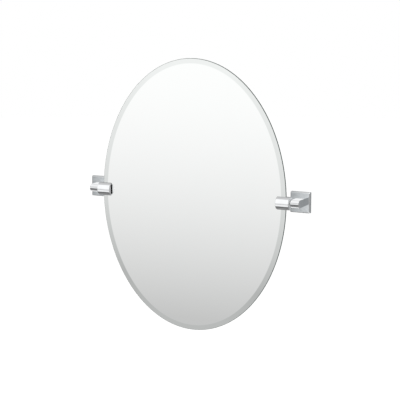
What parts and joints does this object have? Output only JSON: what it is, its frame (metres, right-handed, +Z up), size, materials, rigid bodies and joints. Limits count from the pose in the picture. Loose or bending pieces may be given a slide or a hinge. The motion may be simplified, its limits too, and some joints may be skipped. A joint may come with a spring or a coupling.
{
  "type": "pivot wall mirror",
  "caption": "Oval bevelled wall mirror that tilts between two slotted round clamps on D-shaped chrome arms with square wall covers.",
  "frame": {"origin": "on the wall, midway between the two arms, at the height of the pivot axis: the centre of the four wall-screw holes", "axes": "+X to the right of a person who faces the mirror, +Y into the wall, +Z up along the long axis of the oval"},
  "size_m": [0.5946, 0.0522, 0.673],
  "materials": {
    "polished_chrome": "mirror-polished chrome plate",
    "silvered_glass": "silvered float glass with a polished bevel",
    "zinc_steel": "zinc-plated pressed steel",
    "screw_steel": "stainless steel screws",
    "nylon": "natural nylon",
    "liner_rubber": "soft black liner",
    "safety_film": "grey safety film over the backing paint"
  },
  "bodies": {
    "wall_posts": {"left_wall_bracket": "zinc_steel", "right_wall_bracket": "zinc_steel", "left_escutcheon": "polished_chrome", "right_escutcheon": "polished_chrome", "left_arm": "polished_chrome", "right_arm": "polished_chrome", "arm_screws": "screw_steel", "cover_grub_screws": "screw_steel", "left_pivot_bush": "nylon", "right_pivot_bush": "nylon", "tension_screws": "screw_steel", "left_friction_washer": "nylon", "right_friction_washer": "nylon"},
    "mirror": {"mirror_glass": "silvered_glass", "backing_film": "safety_film", "left_clamp": "polished_chrome", "right_clamp": "polished_chrome", "left_clamp_pad": "liner_rubber", "right_clamp_pad": "liner_rubber", "left_pressure_plate": "zinc_steel", "right_pressure_plate": "zinc_steel", "clamp_screws": "screw_steel", "left_pivot_pin": "polished_chrome", "right_pivot_pin": "polished_chrome"}
  },
  "joints": [
    {"name": "tilt", "type": "hinge", "parent": "wall_posts", "child": "mirror", "pos_m": [0, -0.036, 0], "axis": [1, 0, 0], "range_deg": [-5, 5]}
  ]
}
